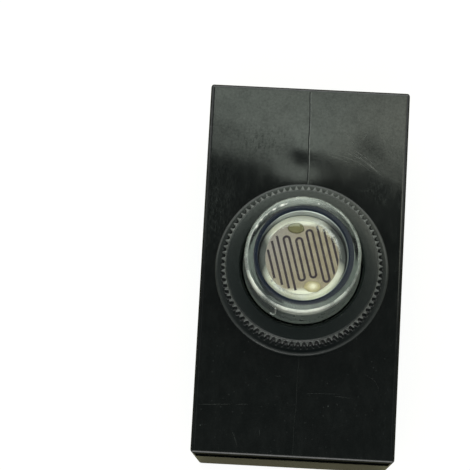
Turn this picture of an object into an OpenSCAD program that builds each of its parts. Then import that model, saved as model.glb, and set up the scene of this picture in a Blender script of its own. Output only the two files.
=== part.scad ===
// Stem-mounted light control switch, lying on its flat back.
// X runs across the box, Y along it and Z out of its face along the stem.
// The origin is the middle of the back. All sizes are in millimetres.

/* [Box] */
// Length of the box
body_l = 54.5; // [53:0.5:60]
// Width of the box
body_w = 29.4; // [28.8:0.2:34]
// Depth of the box from its back to its face
body_h = 28.5; // [27:0.5:32]
// Thickness of the side walls
wall = 1.8; // [1.6:0.1:2.1]
// Thickness of the face wall
face_t = 2.2; // [1.8:0.1:2.6]
// Rounding of the outer corners and of the face's edges
edge_r = 0.6; // [0.4:0.1:0.8]

/* [Back cover] */
// Thickness of the back cover
cover_t = 2; // [1.8:0.1:2.4]
// Width of the ledge inside the wall that the cover lies against
cover_ledge = 0.9; // [0.7:0.1:1]
// Height of the rim that stands up inside the walls
rim_h = 2; // [1.6:0.1:2.4]
// Thickness of that rim
rim_t = 1.1; // [0.9:0.1:1.4]
// Diameter of the holes that the leads leave by
lead_hole_d = 3.4; // [2.6:0.1:3.6]
// Distance between the lead holes
lead_pitch = 7; // [5.5:0.5:8]
// Height of the collar round each lead hole
collar_h = 1.2; // [0.8:0.1:1.8]

/* [Stem and nut] */
// Diameter of the stem over its thread
stem_d = 17.2; // [17:0.1:17.6]
// Height of the stem above the face
stem_h = 5.2; // [4.8:0.1:5.6]
// Diameter of the seat for the cell holder inside the stem
socket_d = 13.9; // [13.8:0.1:14.2]
// Diameter of the passage from the stem into the box
passage_d = 11.2; // [10.6:0.1:12]
// Height of the lip on the stem that centres the lens
lip_h = 0.8; // [0.5:0.1:1]
// Thickness of that lip
lip_t = 0.6; // [0.5:0.05:0.7]
// Running clearance between the stem and the nut
nut_clearance = 0.08; // [0.04:0.01:0.1]
// Height of the nut
nut_h = 6; // [5.7:0.1:7]
// Diameter of the nut's flange
flange_d = 25.2; // [24.4:0.1:27]
// Thickness of the flange
flange_t = 1.6; // [1.2:0.1:2]
// Diameter of the nut over its ribs
rib_tip_d = 23.3; // [22.8:0.1:24]
// Diameter of the nut's smooth end
nut_face_d = 21.9; // [21:0.1:22.2]
// How far the ribs stop short of the nut's end
rib_drop = 0.5; // [0.3:0.1:1]
// Number of ribs round the nut
rib_count = 80; // [60:1:84]
// Width of the gap between two ribs
rib_gap = 0.58; // [0.45:0.01:0.62]
// Depth of that gap
rib_depth = 0.62; // [0.45:0.01:0.7]

/* [Lens] */
// Height of the lens's front above the face
lens_top = 15.5; // [14.5:0.1:17]
// Diameter of the lens at its front
lens_d = 16.2; // [16.1:0.1:16.4]
// Diameter of the lens at its foot
lens_foot_d = 16.9; // [16.6:0.1:17]
// Thickness of the lens's front
lens_front_t = 1; // [0.8:0.1:1.4]
// Rounding of the lens's front edge
lens_edge_r = 0.45; // [0.3:0.05:0.6]

/* [Photocell] */
// Outer diameter of the tube that holds the cell
holder_d = 13.6; // [13.5:0.1:13.7]
// Diameter of the cell
cell_d = 12.4; // [12:0.1:12.5]
// Thickness of the cell's ceramic disc
cell_t = 1.9; // [1.5:0.1:2.4]
// Depth of the cell's front below the lens's inner face
cell_depth = 2; // [1.4:0.1:2.6]
// Thickness of the shelf that the cell sits on
shelf_t = 1.2; // [0.8:0.1:1.6]
// Diameter of the sensing film
film_d = 10.3; // [10.2:0.1:10.8]
// Thickness of the film and of the electrodes on it
film_t = 0.1; // [0.08:0.01:0.14]
// Width of the gap that winds between the electrodes
track_w = 0.34; // [0.26:0.02:0.4]
// Distance between two runs of that gap
track_pitch = 0.825; // [0.77:0.005:0.83]
// Turn of the runs from the box's long side, in degrees
track_tilt = 16; // [0:1:30]

/* [Board and contacts] */
// Thickness of the board
board_t = 1.6; // [1.4:0.1:2]
// Height of the board's back above the box's back
board_z = 7; // [6.4:0.1:7.6]
// Length left free beside the board for the leads
lead_bay = 7.5; // [7:0.1:8]
// Diameter of the posts that carry the board
post_d = 5; // [4.4:0.1:5.4]
// Diameter of the board screws
board_screw_d = 1.6; // [1.4:0.1:2]
// Height of the contact blade above the board
blade_rise = 7; // [6.4:0.1:8]
// Width of the contact blade
blade_w = 5; // [4.4:0.1:5.4]
// Thickness of the contact blade
blade_t = 0.6; // [0.4:0.05:0.8]
// Thickness of the brass strip in brackets and terminals
strip_t = 0.8; // [0.6:0.05:0.9]
// Diameter of the rivets
rivet_d = 2; // [1.6:0.1:2.2]
// Diameter of the contacts
contact_d = 3.4; // [2.8:0.1:4]
// Thickness of each contact
contact_t = 0.8; // [0.6:0.05:1]
// Diameter of the adjusting screw
adjuster_d = 2.5; // [2:0.1:2.8]
// Diameter of the heater's body
heater_d = 4.4; // [3.6:0.1:4.8]
// Length of the heater's body
heater_l = 12; // [10:0.5:13]
// Diameter of the surge disc
surge_d = 10; // [8:0.5:11]
// Thickness of the surge disc
surge_t = 3.6; // [3:0.1:4.4]
// Diameter of the component wires
wire_d = 0.6; // [0.5:0.05:0.7]
// Gap round a piece that drops into its seat
fit_gap = 0.1; // [0.06:0.01:0.14]

/* [Hidden] */
$fn = 96;

// A cut reaches this far past the face that it opens
over = 1;
// Small parts that merge reach this far into each other
bite = 0.2;

// The hollow of the box
cavity_l = body_l - 2 * wall;
cavity_w = body_w - 2 * wall;
ceiling_z = body_h - face_t;
cavity_r = 0.5;

// The stem, from the box's face up
stem_top = body_h + stem_h;
socket_z = ceiling_z + 1;
stem_chamfer = 0.4;

// The nut
nut_bore_d = stem_d + 2 * nut_clearance;
nut_chamfer = 0.3;

// The lens and what stands inside it
lens_z = body_h + lens_top;
lens_ceiling = lens_z - lens_front_t;
lens_bore_d = holder_d + 4 * fit_gap;
lip_d = socket_d + 2 * lip_t;
holder_top = lens_ceiling - fit_gap;
cell_front = lens_ceiling - cell_depth;
electrode_z = cell_front - film_t;
film_z = electrode_z - film_t;
cell_z = film_z - cell_t;
shelf_z = cell_z - shelf_t;
holder_wall = 0.6;

// The ends of each run of the winding gap, up and down its own direction
track_runs = [[2.2, -1.95], [3.25, -3.1], [3.8, -3.8], [3, -4.25], [3, -2.69], [2.38, -2.69],
              [2.38, -2.64], [3.14, -2.64], [3.14, -3.64], [3.9, -3.64], [3.27, -3.34], [1.88, -2.7]];
// Where two runs join: the first run, and 1 for its upper end or -1 for its lower end
track_turns = [[3, 1], [4, -1], [5, 1], [6, -1], [7, 1], [8, -1]];
run_reach = film_d / 2 - 0.1;
track_shift = 0.11;

// The two wires of the cell, seen from the front
cell_leads = [[-1, 3.9], [1.6, -4]];
sleeve_bore = wire_d + 2 * fit_gap;
sleeve_wall = 0.3;
sleeve_d = sleeve_bore + 2 * sleeve_wall;
sleeve_foot = 0.6;
wire_tail = 0.8;
wire_end = 0.3;
pad_d = wire_d + 0.9;
pad_t = 0.35;
pad_slope = 0.5;

// The board, and where the posts and pegs hold it
board_top = board_z + board_t;
board_gap = 0.3;
board_end = cavity_l / 2 - board_gap;
board_start = -cavity_l / 2 + lead_bay;
board_w = cavity_w - 2 * board_gap;
post_inset = post_d / 2 - bite;
post_x = cavity_w / 2 - post_inset;
post_far = cavity_l / 2 - post_inset;
post_near = board_start + post_d / 2;
posts = [[-post_x, post_far], [post_x, post_far], [-post_x, post_near], [post_x, post_near]];
screw_posts = [posts[0], posts[3]];
peg_posts = [posts[1], posts[2]];
pilot_d = board_screw_d + fit_gap;
pilot_depth = 7;
screw_depth = 6;
screw_head_d = 3.2;
screw_head_t = 1.2;
screw_play = 0.5;
peg_d = 3;
lead_shift = 0.6;
collar_wall = 0.8;
lead_y = -cavity_l / 2 + lead_bay / 2 - lead_shift;
lead_holes = [-lead_pitch, 0, lead_pitch];

// Rivets and the holes that they pass
rivet_gap = 0.05;
rivet_hole_d = rivet_d + 2 * rivet_gap;
head_over = 0.7;
head_t = 0.6;
rivet_head_d = rivet_d + 2 * head_over;

// The contact blade runs along the board beside its middle line
blade_side = 2.5;
blade_x = -blade_side - blade_w / 2;
blade_z = board_top + blade_rise;
bracket_y = 15;
bracket_l = strip_t + rivet_head_d + 2.8;
blade_end = bracket_y + bracket_l;
blade_rivet_y = bracket_y + (bracket_l + strip_t) / 2;
contact_y = -10;
contact_margin = 0.8;
blade_tip = contact_y - contact_d / 2 - contact_margin;
line_rivet_y = contact_y;
contact_bracket_y = line_rivet_y - rivet_head_d / 2 - fit_gap - strip_t;
contact_bracket_l = contact_y + contact_d / 2 + contact_margin - contact_bracket_y;

// The adjusting screw stands under the blade in its bush
adjuster_reach = 3.4;
adjuster_y = bracket_y - adjuster_reach;
adjuster_tip = 1;
bush_wall = 0.8;
bush_d = adjuster_d + 2 * rivet_gap + 2 * bush_wall;
bush_flange = 0.6;
bush_flange_t = 0.7;
adjuster_foot = 1;
slot_w = 0.5;
slot_depth = 0.8;

// The heater lies under the blade, the surge disc stands on the other side
heater_y = 0.6;
heater_z = board_top + heater_d / 2 + fit_gap;
heater_lead = 1.4;
heater_socket = 1;
heater_grip = 0.8;
surge_x = body_w / 4 - 0.3;
surge_y = 5;
surge_z = board_top + surge_d / 2 + 0.9;
surge_lead_pitch = 5;
wire_hole_d = wire_d + 2 * fit_gap;

// Terminals stand down from the board towards the lead bay
terminal_w = 3.2;
terminal_l = rivet_head_d + 2 * (strip_t + fit_gap);
terminal_drop = 3.6;
terminal_eye_d = 1.5;
terminal_eye_rise = 1.3;
load_x = 0.4;
neutral_x = -blade_x;
strip_w = 1.6;
strip_x = blade_x + terminal_w / 2 + 0.3 + strip_w / 2;
load_strip_t = 0.5;

// Rectangle w by l with round corners of radius r, about the origin
module round_rect(w, l, r) {
    square([w - 2 * r, l], center = true);
    square([w, l - 2 * r], center = true);
    for (sx = [-1, 1])
        for (sy = [-1, 1])
            translate([sx * (w / 2 - r), sy * (l / 2 - r)])
                circle(r);
}

// Side view of a block w wide and h high whose two upper corners are rounded
module top_round_profile(w, h, r) {
    translate([-w / 2, 0])
        square([w, h - r]);
    translate([-w / 2 + r, 0])
        square([w - 2 * r, h]);
    for (s = [-1, 1])
        translate([s * (w / 2 - r), h - r])
            circle(r);
}

// Extrudes a side view, drawn as [across, height], along X or along Y
module along_x(length) {
    rotate([90, 0, 90])
        linear_extrude(length, center = true)
            children();
}

module along_y(length) {
    rotate([90, 0, 0])
        linear_extrude(length, center = true)
            children();
}

// Tube or ring between two heights
module ring(outer_d, inner_d, z0, z1) {
    translate([0, 0, z0])
        difference() {
            cylinder(h = z1 - z0, d = outer_d);
            translate([0, 0, -over])
                cylinder(h = z1 - z0 + 2 * over, d = inner_d);
        }
}

// Outside of the box: three round-cornered views of it, intersected
module box_outside() {
    intersection() {
        linear_extrude(body_h)
            round_rect(body_w, body_l, edge_r);
        along_x(body_w + over)
            top_round_profile(body_l, body_h, edge_r);
        along_y(body_l + over)
            top_round_profile(body_w, body_h, edge_r);
    }
}

module housing() {
    color([0.05, 0.055, 0.055])
    difference() {
        union() {
            difference() {
                box_outside();
                // The hollow, and the wider step at its mouth for the cover
                translate([0, 0, -over])
                    linear_extrude(ceiling_z + over)
                        round_rect(cavity_w, cavity_l, cavity_r);
                translate([0, 0, -over])
                    linear_extrude(cover_t + over)
                        round_rect(cavity_w + 2 * cover_ledge, cavity_l + 2 * cover_ledge, cavity_r);
            }
            // The stem with its chamfered top and the lip that centres the lens
            translate([0, 0, body_h - bite])
                cylinder(h = stem_h + bite - stem_chamfer, d = stem_d);
            translate([0, 0, stem_top - stem_chamfer])
                cylinder(h = stem_chamfer, d1 = stem_d, d2 = stem_d - 2 * stem_chamfer);
            translate([0, 0, stem_top - bite])
                cylinder(h = lip_h + bite, d = lip_d);
            // Posts for the board
            for (p = posts)
                translate([p[0], p[1], board_top])
                    cylinder(h = ceiling_z - board_top + bite, d = post_d);
        }
        // Seat of the cell holder, and the passage below it
        translate([0, 0, socket_z])
            cylinder(h = stem_top + lip_h + over - socket_z, d = socket_d);
        translate([0, 0, ceiling_z - over])
            cylinder(h = face_t + 2 * over, d = passage_d);
        for (p = screw_posts)
            translate([p[0], p[1], board_top - over])
                cylinder(h = pilot_depth + over, d = pilot_d);
    }
}

module back_cover() {
    plate_w = cavity_w + 2 * cover_ledge - 2 * fit_gap;
    plate_l = cavity_l + 2 * cover_ledge - 2 * fit_gap;
    rim_w = cavity_w - 2 * fit_gap;
    rim_l = cavity_l - 2 * fit_gap;
    color([0.07, 0.07, 0.075])
    difference() {
        union() {
            linear_extrude(cover_t)
                round_rect(plate_w, plate_l, cavity_r);
            // Rim inside the walls
            translate([0, 0, cover_t - bite])
                linear_extrude(rim_h + bite)
                    difference() {
                        round_rect(rim_w, rim_l, cavity_r);
                        square([rim_w - 2 * rim_t, rim_l - 2 * rim_t], center = true);
                    }
            // Pegs that press the board against its posts
            for (p = peg_posts)
                translate([p[0], p[1], cover_t - bite])
                    cylinder(h = board_z - cover_t + bite, d = peg_d);
            for (x = lead_holes)
                translate([x, lead_y, cover_t - bite])
                    cylinder(h = collar_h + bite, d = lead_hole_d + 2 * collar_wall);
        }
        for (x = lead_holes)
            translate([x, lead_y, -over])
                cylinder(h = cover_t + collar_h + 2 * over, d = lead_hole_d);
    }
}

// Outline of the ribbed part: a disc with round-bottomed gaps cut into its rim
module rib_outline() {
    gap_y = rib_tip_d / 2 - rib_depth + rib_gap / 2;
    difference() {
        circle(d = rib_tip_d);
        for (i = [0 : rib_count - 1])
            rotate(i * 360 / rib_count) {
                translate([0, gap_y])
                    circle(d = rib_gap, $fn = 32);
                translate([-rib_gap / 2, gap_y])
                    square([rib_gap, rib_depth + over]);
            }
    }
}

module lock_nut() {
    color([0.07, 0.075, 0.075])
    translate([0, 0, body_h])
        difference() {
            union() {
                // Flange with a chamfered upper edge
                cylinder(h = flange_t - nut_chamfer, d = flange_d);
                translate([0, 0, flange_t - nut_chamfer])
                    cylinder(h = nut_chamfer, d1 = flange_d, d2 = flange_d - 2 * nut_chamfer);
                // Ribs, then the smooth end with its chamfer
                translate([0, 0, flange_t - bite])
                    linear_extrude(nut_h - rib_drop - flange_t + bite)
                        rib_outline();
                cylinder(h = nut_h - nut_chamfer, d = nut_face_d);
                translate([0, 0, nut_h - nut_chamfer])
                    cylinder(h = nut_chamfer, d1 = nut_face_d, d2 = nut_face_d - 2 * nut_chamfer);
            }
            translate([0, 0, -over])
                cylinder(h = nut_h + 2 * over, d = nut_bore_d);
            // Countersinks that start the thread
            translate([0, 0, nut_h - nut_chamfer])
                cylinder(h = nut_chamfer + over, d1 = nut_bore_d,
                         d2 = nut_bore_d + 2 * (nut_chamfer + over));
            translate([0, 0, -over])
                cylinder(h = nut_chamfer + over, d1 = nut_bore_d + 2 * (nut_chamfer + over),
                         d2 = nut_bore_d);
        }
}

// A clear cup that narrows towards its front and sits over the lip of the stem
module lens_cap() {
    lens_l = lens_z - stem_top;
    front_r = lens_d / 2;
    register_r = lip_d / 2 + fit_gap;
    color([0.8, 0.85, 0.82, 0.35])
    translate([0, 0, stem_top])
        rotate_extrude()
            difference() {
                union() {
                    polygon([[0, 0], [lens_foot_d / 2, 0], [front_r, lens_l - lens_edge_r],
                             [front_r - lens_edge_r, lens_l - lens_edge_r],
                             [front_r - lens_edge_r, lens_l], [0, lens_l]]);
                    translate([front_r - lens_edge_r, lens_l - lens_edge_r])
                        circle(lens_edge_r, $fn = 48);
                }
                translate([-over, -over])
                    square([lens_bore_d / 2 + over, lens_l - lens_front_t + over]);
                translate([0, -over])
                    square([register_r, lip_h + fit_gap + over]);
            }
}

module cell_holder() {
    holder_bore = holder_d - 2 * holder_wall;
    color([0.06, 0.07, 0.14])
    difference() {
        translate([0, 0, socket_z])
            cylinder(h = holder_top - socket_z, d = holder_d);
        // The cup that the cell drops into, and the hollow under its shelf
        translate([0, 0, cell_z])
            cylinder(h = holder_top - cell_z + over, d = max(holder_bore, cell_d + fit_gap));
        translate([0, 0, socket_z - over])
            cylinder(h = shelf_z - socket_z + over, d = passage_d);
        for (p = cell_leads)
            translate([p[0], p[1], shelf_z - over])
                cylinder(h = shelf_t + 2 * over, d = wire_hole_d);
    }
}

// Holes for the cell's wires through one of its layers
module cell_layer(d, z, h) {
    translate([0, 0, z])
        difference() {
            cylinder(h = h, d = d);
            for (p = cell_leads)
                translate([p[0], p[1], -over])
                    cylinder(h = h + 2 * over, d = wire_hole_d);
        }
}

module cell_disc() {
    color([0.85, 0.82, 0.7])
    cell_layer(cell_d, cell_z, cell_t);
}

module cell_film() {
    color([0.28, 0.17, 0.16])
    cell_layer(film_d, film_z, film_t);
}

// The runs of the gap that winds between the two combs of metal, and the bends that join them
module winding_runs() {
    runs = len(track_runs);
    function run_x(i) = (i - (runs - 1) / 2) * track_pitch + track_shift;
    for (i = [0 : runs - 1])
        translate([run_x(i) - track_w / 2, track_runs[i][1]])
            square([track_w, track_runs[i][0] - track_runs[i][1]]);
    for (t = track_turns) {
        side = t[1];
        end_y = side > 0 ? track_runs[t[0]][0] : track_runs[t[0]][1];
        translate([run_x(t[0]) + track_pitch / 2, end_y])
            intersection() {
                difference() {
                    circle(d = track_pitch + track_w, $fn = 32);
                    circle(d = track_pitch - track_w, $fn = 32);
                }
                translate([-track_pitch, side > 0 ? 0 : -track_pitch])
                    square([2 * track_pitch, track_pitch]);
            }
    }
}

// The winding gap stops short of the metal's rim
module winding_gap() {
    intersection() {
        circle(r = run_reach);
        winding_runs();
    }
}

module cell_electrodes() {
    color([0.72, 0.69, 0.58])
    translate([0, 0, electrode_z])
        linear_extrude(film_t)
            difference() {
                circle(d = film_d);
                rotate(track_tilt)
                    winding_gap();
                for (p = cell_leads)
                    translate([p[0], p[1]])
                        circle(d = wire_hole_d);
            }
}

// Solder that joins each wire to its comb of metal
module cell_solder() {
    color([0.6, 0.56, 0.4])
    for (p = cell_leads)
        translate([p[0], p[1], cell_front])
            difference() {
                cylinder(h = pad_t, d1 = pad_d, d2 = pad_d - pad_slope);
                translate([0, 0, -over])
                    cylinder(h = pad_t + 2 * over, d = wire_d + 2 * rivet_gap);
            }
}

module cell_wires() {
    color([0.75, 0.75, 0.73])
    for (p = cell_leads)
        translate([p[0], p[1], board_z - wire_tail])
            cylinder(h = cell_front + wire_end - board_z + wire_tail, d = wire_d);
}

module cell_sleeves() {
    color([0.9, 0.9, 0.85])
    for (p = cell_leads)
        translate([p[0], p[1], 0])
            ring(sleeve_d, sleeve_bore, board_top + sleeve_foot, shelf_z - fit_gap);
}

// Where the surge disc's two wires stand
surge_leads = [for (s = [-1, 1]) [surge_x, surge_y + s * surge_lead_pitch / 2]];
// Where the heater's two wires go through the board
heater_leads = [for (s = [-1, 1]) [blade_x, heater_y + s * (heater_l / 2 + heater_lead)]];

module base_board() {
    color([0.42, 0.25, 0.13])
    difference() {
        translate([-board_w / 2, board_start, board_z])
            cube([board_w, board_end - board_start, board_t]);
        for (p = screw_posts)
            board_hole(p, board_screw_d + screw_play);
        for (p = concat(cell_leads, surge_leads, heater_leads))
            board_hole(p, wire_hole_d);
        for (p = board_rivet_points())
            board_hole(p, rivet_hole_d);
        board_hole([blade_x, adjuster_y], bush_d + 2 * rivet_gap);
    }
}

module board_hole(p, d) {
    translate([p[0], p[1], board_z - over])
        cylinder(h = board_t + 2 * over, d = d);
}

// Rivets through the board: under the blade's bracket, the fixed contact, and two terminals
function board_rivet_points() =
    [[blade_x, blade_rivet_y], [blade_x, line_rivet_y], [load_x, line_rivet_y],
     [neutral_x, line_rivet_y]];

module board_screws() {
    color([0.7, 0.7, 0.7])
    for (p = screw_posts)
        translate([p[0], p[1], board_z])
            difference() {
                union() {
                    translate([0, 0, -screw_head_t])
                        cylinder(h = screw_head_t, d = screw_head_d);
                    cylinder(h = board_t + screw_depth, d = board_screw_d);
                }
                // Slot across the head
                translate([-screw_head_d, -slot_w / 2, -screw_head_t - over])
                    cube([2 * screw_head_d, slot_w, over + screw_head_t / 2]);
            }
}

// A strip bent into a C: foot on the board, upright, and a tab on top
module c_bracket(y0, length, top_z, foot_rivet_y, tab_hole_y) {
    translate([blade_x, 0, 0])
        difference() {
            along_x(blade_w) {
                translate([y0, board_top])
                    square([length, strip_t]);
                translate([y0, board_top])
                    square([strip_t, top_z - board_top]);
                translate([y0, top_z - strip_t])
                    square([length, strip_t]);
            }
            translate([0, foot_rivet_y, board_top - over])
                cylinder(h = strip_t + 2 * over, d = rivet_hole_d);
            translate([0, tab_hole_y, top_z - strip_t - over])
                cylinder(h = strip_t + 2 * over, d = rivet_hole_d);
        }
}

module blade_bracket() {
    color([0.78, 0.62, 0.3])
    c_bracket(bracket_y, bracket_l, blade_z, blade_rivet_y, blade_rivet_y);
}

module contact_bracket() {
    tab_z = blade_z - 2 * contact_t;
    color([0.78, 0.62, 0.3])
    c_bracket(contact_bracket_y, contact_bracket_l, tab_z, line_rivet_y, contact_y);
}

// The two-metal blade that bends as it warms
module contact_blade() {
    color([0.72, 0.7, 0.66])
    difference() {
        translate([blade_x - blade_w / 2, blade_tip, blade_z])
            cube([blade_w, blade_end - blade_tip, blade_t]);
        for (y = [blade_rivet_y, contact_y])
            translate([blade_x, y, blade_z - over])
                cylinder(h = blade_t + 2 * over, d = rivet_hole_d);
    }
}

// Rivet with a head at each end, its shank between two heights
module rivet(z0, z1) {
    translate([0, 0, z0 - head_t])
        cylinder(h = z1 - z0 + 2 * head_t, d = rivet_d);
    translate([0, 0, z0 - head_t])
        cylinder(h = head_t, d = rivet_head_d);
    translate([0, 0, z1])
        cylinder(h = head_t, d = rivet_head_d);
}

module blade_rivets() {
    color([0.8, 0.78, 0.7])
    translate([blade_x, blade_rivet_y, 0])
        rivet(blade_z - strip_t, blade_z + blade_t);
}

module board_rivets() {
    points = board_rivet_points();
    color([0.8, 0.78, 0.7]) {
        translate([points[0][0], points[0][1], 0])
            rivet(board_z - load_strip_t, board_top + strip_t);
        translate([points[1][0], points[1][1], 0])
            rivet(board_z - strip_t, board_top + strip_t);
        translate([points[2][0], points[2][1], 0])
            rivet(board_z - load_strip_t - strip_t, board_top);
        translate([points[3][0], points[3][1], 0])
            rivet(board_z - strip_t, board_top);
    }
}

// Contact button with a shank that is riveted over behind its strip
module contact(face_z, strip_z, strip_side) {
    translate([blade_x, contact_y, min(face_z, strip_z)])
        cylinder(h = abs(face_z - strip_z), d = contact_d);
    back_z = strip_z + strip_side;
    translate([blade_x, contact_y, min(strip_z, back_z)])
        cylinder(h = abs(strip_side), d = rivet_d);
}

module moving_contact() {
    color([0.85, 0.85, 0.86])
    contact(blade_z - contact_t, blade_z, blade_t);
}

module fixed_contact() {
    color([0.85, 0.85, 0.86])
    contact(blade_z - contact_t, blade_z - 2 * contact_t, -strip_t);
}

// The bush is threaded inside and flanged on top of the board
module adjuster_bush() {
    color([0.78, 0.62, 0.3])
    translate([blade_x, adjuster_y, 0])
        difference() {
            union() {
                translate([0, 0, board_z])
                    cylinder(h = board_t, d = bush_d);
                translate([0, 0, board_top])
                    cylinder(h = bush_flange_t, d = bush_d + 2 * bush_flange);
            }
            translate([0, 0, board_z - over])
                cylinder(h = board_t + bush_flange_t + 2 * over, d = adjuster_d + 2 * rivet_gap);
        }
}

module adjusting_screw() {
    color([0.7, 0.7, 0.7])
    translate([blade_x, adjuster_y, 0])
        difference() {
            union() {
                translate([0, 0, board_z - adjuster_foot])
                    cylinder(h = blade_z - adjuster_tip - board_z + adjuster_foot, d = adjuster_d);
                translate([0, 0, blade_z - adjuster_tip])
                    cylinder(h = adjuster_tip, d1 = adjuster_d, d2 = adjuster_d / 2);
            }
            translate([-adjuster_d, -slot_w / 2, board_z - adjuster_foot - over])
                cube([2 * adjuster_d, slot_w, over + slot_depth]);
        }
}

module heater_body() {
    color([0.8, 0.78, 0.72])
    translate([blade_x, heater_y, heater_z])
        rotate([90, 0, 0])
            difference() {
                cylinder(h = heater_l, d = heater_d, center = true);
                for (s = [-1, 1])
                    translate([0, 0, s * heater_l / 2])
                        cylinder(h = 2 * heater_socket, d = wire_hole_d, center = true);
            }
}

module heater_wires() {
    color([0.75, 0.75, 0.73])
    for (s = [-1, 1])
        translate([blade_x, heater_y, 0]) {
            corner_y = s * (heater_l / 2 + heater_lead);
            start_y = s * (heater_l / 2 - heater_grip);
            translate([0, (corner_y + start_y) / 2, heater_z])
                rotate([90, 0, 0])
                    cylinder(h = abs(corner_y - start_y), d = wire_d, center = true);
            translate([0, corner_y, heater_z])
                sphere(d = wire_d, $fn = 32);
            translate([0, corner_y, board_z - wire_tail])
                cylinder(h = heater_z - board_z + wire_tail, d = wire_d);
        }
}

module surge_disc() {
    color([0.15, 0.3, 0.6])
    difference() {
        translate([surge_x, surge_y, surge_z])
            rotate([0, 90, 0])
                cylinder(h = surge_t, d = surge_d, center = true);
        for (p = surge_leads)
            translate([p[0], p[1], surge_z - surge_d])
                cylinder(h = surge_d - surge_d / 5, d = wire_hole_d);
    }
}

module surge_wires() {
    color([0.75, 0.75, 0.73])
    for (p = surge_leads)
        translate([p[0], p[1], board_z - wire_tail])
            cylinder(h = surge_z - surge_d / 5 - fit_gap - board_z + wire_tail, d = wire_d);
}

// A bent tab: foot riveted under the board, leg with an eye for the lead
module terminal(x, top_z) {
    foot_y = line_rivet_y - terminal_l / 2;
    translate([x, 0, 0])
        difference() {
            along_x(terminal_w) {
                translate([foot_y, top_z - strip_t])
                    square([terminal_l, strip_t]);
                translate([foot_y, top_z - terminal_drop])
                    square([strip_t, terminal_drop]);
            }
            translate([0, line_rivet_y, top_z - strip_t - over])
                cylinder(h = strip_t + 2 * over, d = rivet_hole_d);
            translate([0, foot_y + strip_t / 2, top_z - terminal_drop + terminal_eye_rise])
                rotate([90, 0, 0])
                    cylinder(h = 4 * strip_t, d = terminal_eye_d, center = true);
        }
}

module line_terminal() {
    color([0.78, 0.62, 0.3])
    terminal(blade_x, board_z);
}

module load_terminal() {
    color([0.78, 0.62, 0.3])
    terminal(load_x, board_z - load_strip_t);
}

module neutral_terminal() {
    color([0.78, 0.62, 0.3])
    terminal(neutral_x, board_z);
}

// Flat strip under the board from the blade's bracket to the load terminal
module load_strip() {
    color([0.72, 0.45, 0.3])
    translate([0, 0, board_z - load_strip_t])
        linear_extrude(load_strip_t)
            difference() {
                union() {
                    translate([blade_x, blade_rivet_y])
                        circle(d = rivet_head_d);
                    translate([load_x, line_rivet_y])
                        circle(d = rivet_head_d);
                    translate([blade_x, blade_rivet_y - strip_w / 2])
                        square([strip_x - blade_x + strip_w / 2, strip_w]);
                    translate([strip_x - strip_w / 2, line_rivet_y - strip_w / 2])
                        square([strip_w, blade_rivet_y - line_rivet_y + strip_w]);
                    translate([strip_x, line_rivet_y - strip_w / 2])
                        square([load_x - strip_x, strip_w]);
                }
                translate([blade_x, blade_rivet_y])
                    circle(d = rivet_hole_d);
                translate([load_x, line_rivet_y])
                    circle(d = rivet_hole_d);
            }
}

housing();
back_cover();
lock_nut();
lens_cap();
cell_holder();
cell_disc();
cell_film();
cell_electrodes();
cell_solder();
cell_wires();
cell_sleeves();
base_board();
board_screws();
blade_bracket();
contact_bracket();
contact_blade();
blade_rivets();
moving_contact();
fixed_contact();
adjuster_bush();
adjusting_screw();
heater_body();
heater_wires();
surge_disc();
surge_wires();
line_terminal();
load_terminal();
neutral_terminal();
board_rivets();
load_strip();
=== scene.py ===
import math

import bmesh
import bpy
from mathutils import Matrix, Quaternion, Vector, noise

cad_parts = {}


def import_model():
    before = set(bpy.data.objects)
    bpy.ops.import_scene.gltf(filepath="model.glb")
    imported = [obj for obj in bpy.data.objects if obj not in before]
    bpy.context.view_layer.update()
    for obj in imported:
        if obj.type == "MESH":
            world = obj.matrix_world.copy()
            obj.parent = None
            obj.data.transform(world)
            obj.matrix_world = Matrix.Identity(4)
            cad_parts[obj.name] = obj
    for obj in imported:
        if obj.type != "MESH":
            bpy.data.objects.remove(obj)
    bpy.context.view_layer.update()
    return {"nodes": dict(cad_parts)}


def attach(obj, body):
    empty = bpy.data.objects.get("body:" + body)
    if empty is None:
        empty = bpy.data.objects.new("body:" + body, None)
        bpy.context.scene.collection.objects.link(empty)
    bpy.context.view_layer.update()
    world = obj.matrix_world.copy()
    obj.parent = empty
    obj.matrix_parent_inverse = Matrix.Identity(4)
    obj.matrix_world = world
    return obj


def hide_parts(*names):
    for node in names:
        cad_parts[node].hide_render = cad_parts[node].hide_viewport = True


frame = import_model()
MM = 0.001

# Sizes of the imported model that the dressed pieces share, in millimetres
BODY_L, BODY_H = 54.5, 28.5
EDGE_R = 0.6
STEM_TOP = 33.7
NUT_H, NUT_BORE_D, NUT_FACE_D = 6.0, 17.36, 21.9
FLANGE_D, FLANGE_T = 25.2, 1.6
RIB_TIP_D, RIB_DEPTH, RIB_GAP, RIB_COUNT, RIB_DROP = 23.3, 0.62, 0.58, 80, 0.5
LENS_TOP, LENS_D, LENS_FOOT_D, LENS_BORE_D = 44.0, 16.2, 16.9, 14.0
LENS_FRONT_T = 1.0
LIP_D, LIP_H = 15.1, 0.8
CELL_TOP, FILM_TOP = 40.8, 41.0

# Sizes that only the dressed pieces have
LENS_EDGE_R = 0.54
LENS_SIDE_H = LENS_TOP - 0.6 - STEM_TOP
# How far the bore of the lens and the cell's tube stand off the middle
CORE = (0.20, 0.14)
TUBE_AXIS = (0.09, 0.06)
SOLDER_HIGH, SOLDER_LOW = (-1.15, 4.1), (1.62, -3.95)
# Points this near to each other, in metres, are one
WELD = 2e-6


# ---------------------------------------------------------------- materials

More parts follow.
